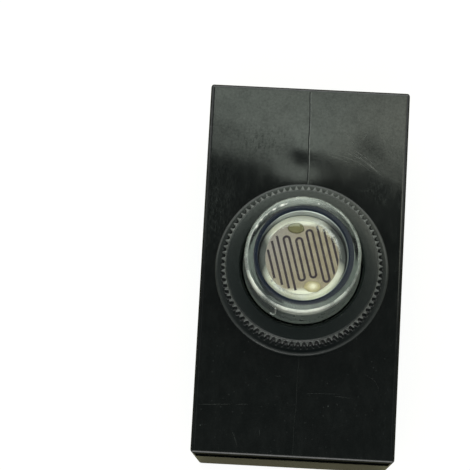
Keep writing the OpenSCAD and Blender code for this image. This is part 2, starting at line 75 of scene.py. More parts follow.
class Nodes:
    """Adds shader nodes to a tree. A value is a number, a colour or a node's output."""

    def __init__(self, tree):
        self.tree = tree

    def node(self, kind, **settings):
        n = self.tree.nodes.new(kind)
        for key, value in settings.items():
            setattr(n, key, value)
        return n

    def link(self, a, b):
        self.tree.links.new(a, b)

    def put(self, value, socket):
        """Sets a socket to a value."""
        if isinstance(value, (int, float)):
            socket.default_value = value
        elif isinstance(value, tuple):
            socket.default_value = (*value, 1)
        else:
            self.link(value, socket)

    def math(self, op, *values):
        m = self.node("ShaderNodeMath", operation=op)
        for value, socket in zip(values, m.inputs):
            self.put(value, socket)
        return m.outputs[0]

    def times(self, first, *others):
        """The product of the values."""
        for value in others:
            first = self.math("MULTIPLY", first, value)
        return first

    def most(self, first, *others):
        """The largest of the values."""
        for value in others:
            first = self.math("MAXIMUM", first, value)
        return first

    def fit(self, value, low, high, to_low=0.0, to_high=1.0, kind="LINEAR"):
        """value from low to high, moved to to_low to to_high and cut off there."""
        m = self.node("ShaderNodeMapRange", interpolation_type=kind)
        for key, limit in (("From Min", low), ("From Max", high),
                           ("To Min", to_low), ("To Max", to_high)):
            m.inputs[key].default_value = limit
        self.link(value, m.inputs["Value"])
        return m.outputs["Result"]

    def span(self, fac, low, high):
        """fac from 0 to 1, moved to low to high."""
        return self.fit(fac, 0.0, 1.0, low, high)

    def mix(self, fac, a, b):
        """Colour a where fac is 0, colour b where it is 1."""
        m = self.node("ShaderNodeMix", data_type="RGBA")
        for value, socket in zip((fac, a, b), (m.inputs[0], m.inputs[6], m.inputs[7])):
            self.put(value, socket)
        return m.outputs[2]

    def blend(self, fac, a, b):
        """Shader a where fac is 0, shader b where it is 1."""
        m = self.node("ShaderNodeMixShader")
        for value, socket in zip((fac, a, b), m.inputs):
            self.put(value, socket)
        return m.outputs[0]


class Look(Nodes):
    """A material whose textures end in one Principled shader."""

    def __init__(self, name, **values):
        self.mat = bpy.data.materials.new(name)
        self.mat.use_nodes = True
        super().__init__(self.mat.node_tree)
        self.shader = self.tree.nodes["Principled BSDF"]
        self.out = self.tree.nodes["Material Output"]
        self.place = self.node("ShaderNodeTexCoord").outputs["Object"]
        self.heights = []
        self.to(**values)

    def to(self, **values):
        """Feeds the shader's sockets; an underscore stands for a space in their names."""
        for key, value in values.items():
            self.put(value, self.shader.inputs[key.replace("_", " ")])

    def stretch(self, size):
        """The place, scaled along each axis, for grain that runs one way."""
        m = self.node("ShaderNodeMapping")
        m.inputs["Scale"].default_value = size
        self.link(self.place, m.inputs["Vector"])
        return m.outputs["Vector"]

    def noise(self, size_mm, detail=2.0, rough=0.5, place=None):
        """Noise whose cells are about size_mm across."""
        n = self.node("ShaderNodeTexNoise")
        n.inputs["Scale"].default_value = 1 / (size_mm * MM)
        n.inputs["Detail"].default_value = detail
        n.inputs["Roughness"].default_value = rough
        self.link(place or self.place, n.inputs["Vector"])
        return n.outputs["Fac"]

    def dots(self, apart_mm, size_mm, seed=0.0):
        """Round specks strewn at random, about apart_mm from each other."""
        m = self.node("ShaderNodeMapping")
        m.inputs["Location"].default_value = (seed, 2 * seed, 3 * seed)
        self.link(self.place, m.inputs["Vector"])
        v = self.node("ShaderNodeTexVoronoi")
        v.inputs["Scale"].default_value = 1 / (apart_mm * MM)
        self.link(m.outputs["Vector"], v.inputs["Vector"])
        share = size_mm / apart_mm
        return self.fit(v.outputs["Distance"], share, 0.4 * share)

    def hump(self, middle, widths, turn=0.0):
        """A smooth hump: 1 in its middle, falling off over widths, all in millimetres."""
        m = self.node("ShaderNodeMapping", vector_type="TEXTURE")
        m.inputs["Location"].default_value = [v * MM for v in middle]
        m.inputs["Rotation"].default_value = (0, 0, math.radians(turn))
        m.inputs["Scale"].default_value = [v * MM for v in widths]
        self.link(self.place, m.inputs["Vector"])
        d = self.node("ShaderNodeVectorMath", operation="DOT_PRODUCT")
        self.link(m.outputs["Vector"], d.inputs[0])
        self.link(m.outputs["Vector"], d.inputs[1])
        return self.math("EXPONENT", self.times(d.outputs["Value"], -1.0))

    def mm(self, which):
        """The place along an axis, in millimetres."""
        s = self.node("ShaderNodeSeparateXYZ")
        self.link(self.place, s.inputs[0])
        return self.times(s.outputs[which], 1 / MM)

    def radius(self, x=0.0, y=0.0):
        """Distance in millimetres from an upright line through x, y."""
        dx = self.math("SUBTRACT", self.mm(0), x)
        dy = self.math("SUBTRACT", self.mm(1), y)
        return self.math("SQRT", self.math("ADD", self.times(dx, dx), self.times(dy, dy)))

    def within(self, value, low, high, soft):
        """1 where value lies from low to high, fading over soft."""
        return self.times(self.fit(value, low - soft, low + soft, kind="SMOOTHSTEP"),
                          self.fit(value, high + soft, high - soft, kind="SMOOTHSTEP"))

    def height(self, value, mm):
        """A bump: value from 0 to 1 stands for so many millimetres."""
        self.heights.append(self.times(value, mm * MM))

    def bump(self):
        """Adds up the bumps and hands out the material."""
        total = self.heights[0]
        for h in self.heights[1:]:
            total = self.math("ADD", total, h)
        b = self.node("ShaderNodeBump")
        b.inputs["Distance"].default_value = 1.0
        self.link(total, b.inputs["Height"])
        self.link(b.outputs["Normal"], self.shader.inputs["Normal"])
        return self.mat


# Slow waves of the face where it sank and set round the stem: height in mm, middle,
# half-widths and turn in degrees
FACE_WAVES = [(0.100, 0, 0, 17.6, 17.6, 0), (0.028, -0.7, 18.0, 1.8, 2.1, 12),
              (0.054, 3.0, 17.5, 3.75, 2.95, -45), (0.032, -12.6, 15.0, 9.0, 3.35, -8),
              (0.008, 12.3, 20.0, 2.35, 9.0, -11), (0.006, 11.4, 13.9, 1.6, 6.9, 58),
              (0.120, 7.2, 23.2, 9.0, 5.3, 55), (0.120, 1.0, 12.1, 3.6, 6.1, -79)]


def housing_look():
    """Black moulded plastic with a high gloss, the slow waves of a thin wall, and handling."""
    k = Look("housing_black")
    along, up = k.mm(1), k.mm(2)
    end_wall = -BODY_L / 2
    smear = k.noise(2.6, 4, 0.62, k.stretch((1.7, 0.8, 1)))
    dust = k.noise(0.45, 4, 0.7, k.stretch((1.3, 0.7, 1)))
    base = k.mix(k.times(k.fit(smear, 0.40, 0.75), dust),
                 (0.0028, 0.0038, 0.0036), (0.0085, 0.0100, 0.0095))
    # Specks of dust, thicker in some places, and fine upright wear beside the nut
    fine = k.times(k.dots(0.8, 0.13), k.fit(k.noise(5.5, 2, 0.5), 0.36, 0.60),
                   k.span(k.hump((0, 21, BODY_H), (24, 9, 6)), 0.16, 0.03))
    coarse = k.times(k.dots(5.4, 0.17, 0.37), 0.3)
    wear = k.times(k.most(k.hump((-12.6, 8.5, BODY_H), (2.6, 6.5, 6)),
                          k.hump((10.5, 12.5, BODY_H), (3.6, 3.0, 6))),
                   k.fit(k.noise(0.36, 4, 0.75, k.stretch((1.6, 0.42, 1))), 0.46, 0.70), 0.20)
    base = k.mix(k.most(fine, coarse, wear), base, (0.085, 0.095, 0.090))
    # Painted reflection: khaki low on the end wall, standing for the floor that it mirrors near
    # its foot
    foot_z = k.math("ADD", up, k.span(k.noise(3.0, 3, 0.6), -1.5, 1.5))
    foot = k.times(k.within(along, end_wall - 1, end_wall + 0.1, 0.05),
                   k.within(foot_z, -2, 12, 6),
                   k.fit(k.noise(1.3, 4, 0.65), 0.30, 0.70, 0.2, 1.0))
    k.to(Base_Color=k.mix(foot, base, (0.022, 0.018, 0.012)),
         Roughness=k.fit(smear, 0.50, 0.75, 0.085, 0.12))
    gloss = k.math("ADD", k.span(k.noise(0.36, 2, 0.6), 0.32, 0.68),
                   k.span(k.noise(1.8, 3, 0.6), -0.13, 0.13))
    # The plastic is a little glossier above the nut on the left, under finger smudges
    gloss = k.times(gloss, k.span(k.hump((-7.5, 19.0, BODY_H), (8.5, 3.8, 6)), 1.0, 1.25))
    smudge = k.most(k.hump((-7.5, 18.9, BODY_H), (6.0, 2.5, 6), -3),
                    k.times(k.hump((9.6, 18.4, BODY_H), (3.4, 2.2, 6), -35), 0.3))
    streak = k.fit(k.noise(0.62, 5, 0.7, k.stretch((1.9, 0.42, 1))), 0.50, 0.58)
    gloss = k.math("SUBTRACT", gloss, k.times(smudge, streak, 0.22))
    # The upper part of the end wall mirrors nothing
    dull = k.times(k.within(along, end_wall - 1, end_wall + 0.02, 0.02),
                   k.within(up, 19.0, BODY_H + 4, 2.2))
    k.to(Specular_IOR_Level=k.times(gloss, k.span(dull, 1.0, 0.0)))
    for high, x, y, wide, deep, turn in FACE_WAVES:
        k.height(k.hump((x, y, BODY_H), (wide, deep, 1.6), turn), high)
    k.height(k.noise(11, 1, 0.4), 0.004)
    k.height(k.noise(0.26, 2, 0.6), 0.0009)
    k.height(smear, 0.0012)
    return k.bump()


def nut_look():
    """Satin black plastic: a scuffed end, smoother flange, pale rib tips that are partly wear and
    partly painted highlight, and painted shade in the front gaps.
    """
    k = Look("nut_black")
    r, z = k.radius(), k.mm(2)
    flange_z, end_z = BODY_H + FLANGE_T, BODY_H + NUT_H
    end_r, tip_r, out_r = NUT_FACE_D / 2, RIB_TIP_D / 2, FLANGE_D / 2
    grain = k.noise(0.20, 3, 0.6)
    cloud = k.noise(2.2, 4, 0.6)
    end = k.within(z, end_z - 0.15, end_z + 1, 0.1)
    flange = k.times(k.within(z, BODY_H + 0.3, flange_z + 0.1, 0.1),
                     k.within(r, tip_r + 0.1, out_r, 0.1))
    base = k.mix(cloud, (0.0040, 0.0062, 0.0060), (0.0075, 0.0105, 0.0100))
    base = k.mix(k.times(end, cloud), base, (0.0075, 0.0108, 0.0104))
    base = k.mix(flange, base,
                 k.mix(cloud, (0.0110, 0.0135, 0.0130), (0.0190, 0.0225, 0.0215)))
    # Painted shade: in front, the gaps between the ribs and the flange beside them are darkened
    front = k.hump((1.0, -12.4, BODY_H + 4), (10.5, 7.5, 9))
    gaps = k.times(k.within(z, flange_z + 0.1, end_z - 0.9, 0.2),
                   k.within(r, end_r, tip_r + 0.1, 0.05), front)
    beside = k.times(flange, k.within(r, tip_r - 0.1, out_r - 0.45, 0.1), front)
    base = k.mix(k.times(gaps, 0.7), base, (0.0015, 0.0022, 0.0022))
    base = k.mix(k.times(beside, 0.9), base, (0.0030, 0.0050, 0.0052))
    # Pale on the tips of the ribs, the flange's rim and the end's edge: partly wear, partly
    # painted highlight, the tips dimmer in front
    tips = k.times(k.within(z, end_z - 0.95, end_z - 0.2, 0.1),
                   k.within(r, end_r - 0.05, tip_r - 0.12, 0.08),
                   k.span(k.hump((0, -11.4, end_z), (9, 5, 4)), 1.0, 0.6))
    rim = k.times(k.within(z, flange_z - 0.35, flange_z + 0.1, 0.08),
                  k.within(r, out_r - 0.38, out_r + 0.2, 0.08))
    edge = k.times(k.within(z, end_z - 0.3, end_z + 0.1, 0.08),
                   k.within(r, end_r - 0.2, end_r + 0.1, 0.06))
    wear_and_glint = k.times(k.most(tips, k.times(rim, 0.15), k.times(edge, 0.20)),
                   k.fit(k.noise(0.5, 3, 0.7), 0.30, 0.70, 0.25, 1.0))
    k.to(Base_Color=k.mix(wear_and_glint, base, (0.150, 0.160, 0.150)),
         Roughness=k.math("ADD", k.span(grain, 0.16, 0.22), k.times(end, 0.04)),
         Specular_IOR_Level=k.times(k.span(k.noise(0.28, 3, 0.75), 0.12, 0.76),
                                    k.span(k.most(gaps, beside), 1.0, 0.35),
                                    k.span(k.times(rim, front), 1.0, 0.4)))
    k.height(grain, 0.005)
    k.height(k.noise(1.4, 2, 0.5), 0.006)
    return k.bump()


def cover_look():
    """The back cover's matt moulded finish."""
    k = Look("cover_black")
    grain = k.noise(0.35, 4, 0.6)
    k.to(Base_Color=k.mix(k.noise(6, 3, 0.6), (0.009, 0.010, 0.011), (0.016, 0.017, 0.018)),
         Roughness=k.span(grain, 0.42, 0.6))
    k.height(grain, 0.012)
    return k.bump()


def clear_to_light(k, tint):
    """Lets lamps reach what lies behind a clear piece, without slow bright specks."""
    path = k.node("ShaderNodeLightPath")
    clear = k.node("ShaderNodeBsdfTransparent")
    k.put(tint, clear.inputs["Color"])
    passing = k.most(path.outputs["Is Shadow Ray"], path.outputs["Is Diffuse Ray"])
    k.link(k.blend(passing, k.shader.outputs[0], clear.outputs[0]), k.out.inputs["Surface"])
    return k.mat


def lens_look():
    """Clear plastic of the window and the inside of the cap."""
    k = Look("lens_clear", Base_Color=(0.99, 1.0, 0.995), Roughness=0.02, IOR=1.49,
             Transmission_Weight=1.0)
    k.height(k.noise(3.5, 2, 0.5), 0.006)
    k.bump()
    return clear_to_light(k, (0.99, 1.0, 0.99))


# Bright nicks of the cap's front, upper left, whitened as painted glints: place and half-width in
# mm
NICKS = [(-6.55, 3.70, 0.25), (-5.95, 4.65, 0.20), (-5.20, 5.45, 0.13), (-4.25, 6.22, 0.22),
         (-3.15, 6.85, 0.26), (-2.6, 7.05, 0.10), (1.9, 7.3, 0.10)]


def haze_look():
    """The ring of the front over the cap's wall, faintly hazy, with a few bright nicks; the haze
    is whiter at the top and in front as painted light, with a painted highlight arc and a painted
    dark arc.
    """
    k = Look("lens_haze", IOR=1.49)
    cloud = k.noise(1.8, 3, 0.6)
    r = k.radius()
    nicks = []
    for x, y, wide in NICKS:
        along = math.degrees(math.atan2(y, x)) + 90
        nicks.append(k.hump((x, y, LENS_TOP), (1.7 * wide, 0.75 * wide, 1), along))
    # Painted highlight: a thin bright arc from the left round to the top
    bright = k.times(k.within(r, 7.52, 7.68, 0.07), k.hump((-7.2, 4.6, LENS_TOP), (3.4, 4.4, 1)))
    lit = k.most(k.fit(k.most(*nicks), 0.15, 0.9, 0.0, 0.9), k.times(bright, 0.7))
    # The milkiness starts outside the cell's tube
    outside = k.span(k.within(k.radius(*CORE), -1.0, 7.0, 0.07), 1.0, 0.0)
    # Painted light: the haze is whiter at the top, less so in front, a little at the left
    haze_lit = k.times(k.most(k.hump((-0.8, 8.6, LENS_TOP), (6.2, 3.6, 6)),
                           k.times(k.hump((0.4, -8.8, LENS_TOP), (6.2, 3.2, 6)), 0.6),
                           k.times(k.hump((-8.2, -0.5, LENS_TOP), (1.6, 5, 6)), 0.2)), outside)
    base = k.mix(haze_lit, (0.36, 0.40, 0.40), k.mix(cloud, (0.70, 0.76, 0.71), (0.86, 0.91, 0.84)))
    # Painted shade: a thin dark arc at the lower left
    dark = k.times(k.within(r, 7.33, 7.48, 0.06), k.hump((-6.0, -4.6, LENS_TOP), (4.6, 4.2, 1)))
    base = k.mix(dark, base, (0.12, 0.13, 0.13))
    base = k.mix(outside, (0.99, 1.0, 0.995), base)
    k.to(Base_Color=k.mix(lit, base, (1.0, 1.0, 0.92)),
         Roughness=k.times(k.span(cloud, 0.06, 0.16), outside),
         Transmission_Weight=k.times(k.span(haze_lit, 0.98, 0.74), k.span(lit, 1.0, 0.15)))
    k.height(k.noise(1.0, 2, 0.5), 0.006)
    k.bump()
    return clear_to_light(k, (0.92, 0.94, 0.92))


def wall_look():
    """The cap's side, dulled by handling: it scatters a little of the light."""
    k = Look("lens_wall", IOR=1.49, Transmission_Weight=0.93)
    grain = k.noise(0.8, 3, 0.6)
    k.to(Base_Color=k.mix(grain, (0.44, 0.50, 0.46), (0.58, 0.63, 0.58)),
         Roughness=k.span(grain, 0.22, 0.36))
    k.height(k.noise(1.4, 2, 0.5), 0.012)
    k.bump()
    return clear_to_light(k, (0.80, 0.84, 0.80))


# Scuffed stretches of the cap's rim, whitened as painted highlights: how white, middle and
# half-widths in mm, turn in degrees
RIM_SCUFFS_AND_HIGHLIGHTS = [(1.00, 0.4, -9.6, 6.6, 4.6, 0), (0.62, -8.7, -1.2, 1.7, 5.0, 8),
              (0.45, 8.4, 0.2, 0.8, 2.2, 0), (0.50, -2.0, 8.4, 7.0, 3.6, 14),
              (0.80, -6.6, -4.4, 3.2, 3.6, 0), (0.60, 5.6, -5.8, 3.0, 2.6, 0)]


def rim_look():
    """The scuffed front rim, whitish where the edge is scuffed and where painted highlights lie,
    most of all in front.
    """
    k = Look("lens_rim", IOR=1.49)
    # Painted highlights: whitish arcs round the rim, brightest in front
    painted_highlight_arcs = k.most(*[k.times(k.hump((x, y, LENS_TOP - 0.4), (wide, deep, 3), turn), white)
                    for white, x, y, wide, deep, turn in RIM_SCUFFS_AND_HIGHLIGHTS])
    painted_highlight_arcs = k.times(k.fit(painted_highlight_arcs, 0.25, 0.75), k.fit(k.noise(1.4, 3, 0.6), 0.28, 0.55, 0.55, 1.0))
    wear_and_glint = k.most(k.fit(k.noise(0.9, 4, 0.65), 0.36, 0.60, 0.0, 0.26), painted_highlight_arcs)
    k.to(Base_Color=k.mix(wear_and_glint, (0.60, 0.66, 0.62), (0.96, 0.99, 0.88)),
         Roughness=k.span(wear_and_glint, 0.15, 0.42), Transmission_Weight=k.span(wear_and_glint, 0.92, 0.22))
    k.height(k.noise(0.5, 3, 0.6), 0.03)
    k.bump()
    return clear_to_light(k, (0.75, 0.79, 0.75))


def foot_look():
    """Frosted band where the lens is bonded to the stem."""
    k = Look("lens_foot")
    k.to(Base_Color=k.mix(k.noise(0.8, 3, 0.6), (0.16, 0.18, 0.17), (0.34, 0.37, 0.33)),
         Roughness=k.span(k.noise(0.4), 0.45, 0.7))
    k.height(k.noise(0.5, 3, 0.6), 0.02)
    return k.bump()


def coat_look():
    """Clear resin poured over the cell."""
    k = Look("cell_coat", Roughness=0.05, IOR=1.75)
    # Whitish dust where it runs down at the disc's edge, upper right and lower left
    edge = k.times(k.most(k.hump((4.1, 3.7, FILM_TOP), (1.9, 2.0, 9)),
                          k.times(k.hump((-3.6, -4.2, FILM_TOP), (2.2, 1.4, 9)), 0.8)),
                   k.within(k.radius(), 5.0, 5.5, 0.14),
                   k.fit(k.noise(0.5, 3, 0.7), 0.40, 0.56, 0.0, 0.75))
    k.to(Transmission_Weight=k.span(edge, 1.0, 0.2),
         Base_Color=k.mix(edge, (1.0, 1.0, 0.99), (0.75, 0.76, 0.74)))
    k.height(k.noise(1.2, 2, 0.5), 0.01)
    k.bump()
    return clear_to_light(k, (1.0, 1.0, 0.99))


def holder_look():
    """Blue-black plastic of the cell's tube, its inside whitened by the clear resin, palest at the
    top and bottom as painted light.
    """
    k = Look("holder_navy", Roughness=0.55, Specular_IOR_Level=0.04)
    navy = k.mix(k.noise(1.5, 3, 0.6), (0.003, 0.006, 0.014), (0.007, 0.012, 0.024))
    # Painted light: the resin on the inside is palest at the top and at the bottom
    ends = k.most(k.hump((-0.6, 7.0, LENS_TOP - 2), (4.6, 4.4, 9)),
                  k.hump((0.6, -7.0, LENS_TOP - 2), (5.0, 4.0, 9)))
    resin = k.mix(k.fit(ends, 0.10, 0.60), (0.14, 0.155, 0.15), (0.66, 0.70, 0.68))
    k.to(Base_Color=k.mix(k.within(k.radius(*TUBE_AXIS), -1.0, 6.3, 0.02), navy, resin))
    k.height(k.noise(0.4, 3, 0.6), 0.005)
    return k.bump()


def ceramic_look():
    """Cream ceramic, with painted shade: darker at the top and greyer at the sides, most at the
    upper right.
    """
    k = Look("cell_cream")
    cream = k.mix(k.fit(k.noise(1.6, 4, 0.6), 0.35, 0.65), (0.88, 0.87, 0.70), (0.97, 0.98, 0.90))
    # Painted shade: darker at the top
    cream = k.mix(k.times(k.hump((0, 6.4, FILM_TOP), (5.5, 3.0, 9)), 0.6), cream,
                  (0.46, 0.47, 0.40))
    # Painted shade: greyer at the sides, most at the upper right
    sides = k.most(k.hump((6.6, 2.6, FILM_TOP), (2.9, 4.2, 9), 22),
                   k.times(k.hump((-6.6, -0.4, FILM_TOP), (2.0, 4.4, 9), -8), 0.8))
    k.to(Base_Color=k.mix(k.fit(sides, 0.12, 0.45), cream, (0.11, 0.12, 0.115)),
         Roughness=k.span(k.noise(0.3), 0.2, 0.3))
    k.height(k.noise(0.2, 3, 0.6), 0.004)
    return k.bump()


def film_look():
    """Dark sensing film."""
    k = Look("film_brown", Roughness=0.35)
    k.to(Base_Color=k.mix(k.noise(0.7, 3, 0.6), (0.015, 0.006, 0.012), (0.030, 0.013, 0.028)))
    k.height(k.noise(0.1, 3, 0.6), 0.003)
    return k.bump()


def electrode_look():
    """Thin beige metal film, uneven and faintly stained."""
    k = Look("electrode_beige", Metallic=0.1)
    metal = k.mix(k.fit(k.noise(1.1, 4, 0.6), 0.35, 0.68),
                  (0.300, 0.250, 0.165), (0.400, 0.345, 0.245))
    # Greyer and pinker towards the upper left, pale round the two soldered spots
    metal = k.mix(k.hump((-4.5, 2.5, FILM_TOP), (4.0, 5.0, 9)), metal, (0.36, 0.32, 0.29))
    pale = k.most(k.hump((-0.3, 5.35, FILM_TOP), (3.5, 0.85, 9)),
                  k.hump((0.4, -5.3, FILM_TOP), (3.6, 0.95, 9)))
    k.to(Base_Color=k.mix(k.fit(pale, 0.25, 0.7), metal, (0.90, 0.90, 0.76)),
         Roughness=k.span(k.noise(0.25, 3), 0.35, 0.5))
    k.height(k.noise(0.18, 3, 0.6), 0.004)
    return k.bump()


def solder_look():
    """Pale solder, with a painted highlight on the top of its blob."""
    k = Look("solder_bright", Metallic=0.25)
    k.to(Base_Color=k.mix(k.hump((1.7, -3.95, FILM_TOP + 0.3), (0.55, 0.45, 1)),
                          (0.62, 0.54, 0.30), (0.98, 0.93, 0.74)),
         Roughness=k.span(k.noise(0.3), 0.25, 0.4))
    k.height(k.noise(0.35, 3, 0.6), 0.03)
    return k.bump()


def metal_look(name, low, high, rough, run=(1, 1, 1)):
    """Metal with a fine grain that may run along one axis."""
    k = Look(name, Metallic=1.0)
    grain = k.noise(0.3, 4, 0.6, k.stretch(run))
    k.to(Base_Color=k.mix(k.noise(1.8, 3, 0.6), low, high),
         Roughness=k.span(grain, rough - 0.08, rough + 0.08))
    k.height(grain, 0.004)
    return k.bump()


def plain_look(name, low, high, rough, cell_mm=1.5):
    """Any other matt or satin stuff: two tones, a grain and a spread of gloss."""
    k = Look(name)
    grain = k.noise(0.3, 4, 0.6)
    k.to(Base_Color=k.mix(k.noise(cell_mm, 4, 0.6), low, high),
         Roughness=k.span(grain, rough - 0.08, rough + 0.1))
    k.height(grain, 0.01)
    return k.bump()


def board_look():
    """Brown laminate with the paper's faint weave."""
    k = Look("board_brown")
    fibre = k.noise(0.5, 4, 0.6, k.stretch((1, 6, 1)))
    k.to(Base_Color=k.mix(fibre, (0.13, 0.055, 0.022), (0.24, 0.11, 0.045)),
         Roughness=k.span(fibre, 0.35, 0.5))
    k.height(fibre, 0.01)
    return k.bump()


def dress(node, look):
    """Gives a CAD node its material."""
    o = frame["nodes"][node]
    o.data.materials.clear()
    o.data.materials.append(look)


# ------------------------------------------------------------ mesh building

def ring_mesh(name, rows, closed=True):
    """A surface from equal rows of points, each row a closed loop round the axis."""
    n = len(rows[0])
    verts = [p for row in rows for p in row]
    faces = []
    count = len(rows)
    for i in range(count if closed else count - 1):
        a, b = i * n, ((i + 1) % count) * n
        for j in range(n):
            k = (j + 1) % n
            faces.append((a + j, a + k, b + k, b + j))
    mesh = bpy.data.meshes.new(name)
    mesh.from_pydata(verts, [], faces)
    mesh.update()
    return mesh


def new_object(name, data):
    """An object that is linked to the scene."""
    o = bpy.data.objects.new(name, data)
    bpy.context.scene.collection.objects.link(o)
    return o


def add(name, mesh, body, look, smooth=True):
    """Puts a mesh in the scene as a piece that rides on a body."""
    o = new_object(name, mesh)
    for m in (look if isinstance(look, list) else [look]):
        o.data.materials.append(m)
    for p in o.data.polygons:
        p.use_smooth = smooth
    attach(o, body)
    return o


def keep(b, mesh):
    """Turns the faces of a closed form to the outside and stores it in a mesh."""
    bmesh.ops.recalc_face_normals(b, faces=b.faces)
    b.to_mesh(mesh)
    b.free()
    mesh.update()
    return mesh


def opened(mesh, weld=True):
    """A mesh for editing, its double points joined."""
    b = bmesh.new()
    b.from_mesh(mesh)
    if weld:
        bmesh.ops.remove_doubles(b, verts=b.verts, dist=WELD)
    return b


def arc(cx, cz, r, a0, a1, steps):
    """Points of an arc in a side view, from angle a0 to a1 in degrees."""
    turns = [math.radians(a0 + (a1 - a0) * i / steps) for i in range(steps + 1)]
    return [(cx + r * math.cos(a), cz + r * math.sin(a)) for a in turns]


def wave(angle, seed, size):
    """Smooth noise round a circle: size is about the number of waves in a turn."""
    r = size / (2 * math.pi)
    return noise.noise(Vector((r * math.cos(angle) + 7.3 * seed, r * math.sin(angle), 3.1 * seed)))


def turned(name, rows, body, look, smooth=True, around=192):
    """A turned piece from its side view; a row may add the middle of its circle."""
    turns = [2 * math.pi * j / around for j in range(around)]
    loops = []
    for r, z, *middle in rows:
        x, y = middle or (0.0, 0.0)
        loops.append([((x + r * math.cos(a)) * MM, (y + r * math.sin(a)) * MM, z * MM)
                      for a in turns])
    mesh = ring_mesh(name, loops, closed=False)
    return add(name, keep(opened(mesh), mesh), body, look, smooth)


# ------------------------------------------------------------------ the nut

def lock_nut():
    """Ring nut: flange, a belt of round-bottomed ribs, and a smooth countersunk end."""
    # Places across one pitch of the ribs, closest together at the gap's edges
    marks = [-0.5, -0.47, -0.44, -0.40, -0.35, -0.30, -0.24, -0.17, -0.09,
             0.0, 0.09, 0.17, 0.24, 0.30, 0.35, 0.40, 0.44, 0.47]
    half_gap = 1.36 * RIB_GAP / (math.pi * RIB_TIP_D / RIB_COUNT) / 2
    angles, gaps = [], []
    for i in range(RIB_COUNT):
        for u in marks:
            angles.append(math.radians((i + u) * 360 / RIB_COUNT + 90))
            gaps.append(max(0.0, 1 - (abs(u) / half_gap) ** 2.2))

    tip, out, end, bore = RIB_TIP_D / 2, FLANGE_D / 2, NUT_FACE_D / 2, NUT_BORE_D / 2
    rib_top = NUT_H - RIB_DROP
    foot_r, flange_r, end_r = 0.15, 0.42, 0.22
    # The end is slightly crowned
    crown = 0.09
    thread_pitch, thread_depth = 1.8, 0.28

    # Each row: radius, height, how much of the gap it follows, or -1 for the thread
    rows = [(bore + 0.3, 0.0, 0), (bore + 1.6, 0.0, 0), (out - 1.2, 0.0, 0)]
    rows += [(r, z, 0) for r, z in arc(out - foot_r, foot_r, foot_r, -90, 0, 4)]
    rows += [(out, FLANGE_T / 2, 0)]
    rows += [(r, z, 0) for r, z in arc(out - flange_r, FLANGE_T - flange_r, flange_r, 0, 90, 9)]
    rows += [(tip + 0.12, FLANGE_T, 0), (tip + 0.02, FLANGE_T + 0.01, 0.4),
             (tip, FLANGE_T + 0.06, 0.9), (tip, FLANGE_T + 0.16, 1.0),
             (tip - 0.01, (FLANGE_T + rib_top) / 2, 1.0)]
    rows += [(r, z, 1.0) for r, z in arc(tip - 0.14, rib_top - 0.34, 0.14, 0, 60, 4)]
    rows += [(tip - 0.26, rib_top - 0.14, 1.0), (tip - 0.44, rib_top - 0.04, 1.0),
             (tip - RIB_DEPTH, rib_top, 0.0), (end + 0.02, rib_top + 0.02, 0),
             (end, rib_top + 0.08, 0)]
    rows += [(r, z, 0) for r, z in arc(end - end_r, NUT_H - end_r - crown, end_r, 0, 86, 7)]
    rows += [(end - 0.8, NUT_H - 0.6 * crown, 0), ((end + bore) / 2, NUT_H - 0.28 * crown, 0),
             (bore + 0.7, NUT_H - 0.02, 0)]
    rows += [(r, z, 0) for r, z in arc(bore + 0.36, NUT_H - 0.1, 0.1, 90, 135, 3)]
    rows += [(bore, NUT_H - 0.32, 0)]
    rows += [(bore, NUT_H - 0.45 - 0.12 * i, -1) for i in range(11)]
    rows += [(bore, 3.9, 0), (bore, 0.3, 0)]

    loops = []
    for r, z, follow in rows:
        loop = []
        for a, g in zip(angles, gaps):
            rr = r
            if follow > 0:
                rr = r - RIB_DEPTH * follow * g * max(0.0, (r - tip + RIB_DEPTH) / RIB_DEPTH)
            elif follow < 0:
                t = (z / thread_pitch - a / (2 * math.pi)) % 1.0
                rr = r + thread_depth * max(0.0, 1 - abs(t - 0.5) / 0.3)
            loop.append((rr * math.cos(a) * MM, rr * math.sin(a) * MM, (BODY_H + z) * MM))
        loops.append(loop)
    mesh = ring_mesh("lock_nut_ribbed", loops)
    o = add("lock_nut_ribbed", keep(opened(mesh, weld=False), mesh), "nut",
            nut_look())
    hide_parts("lock_nut")


# ----------------------------------------------------------------- the lens

def side_r(t):
    """Radius of the cap's side, from its front edge, where t is 0, down to its foot."""
    return LENS_D / 2 + (LENS_FOOT_D - LENS_D) / 2 * t - 0.02


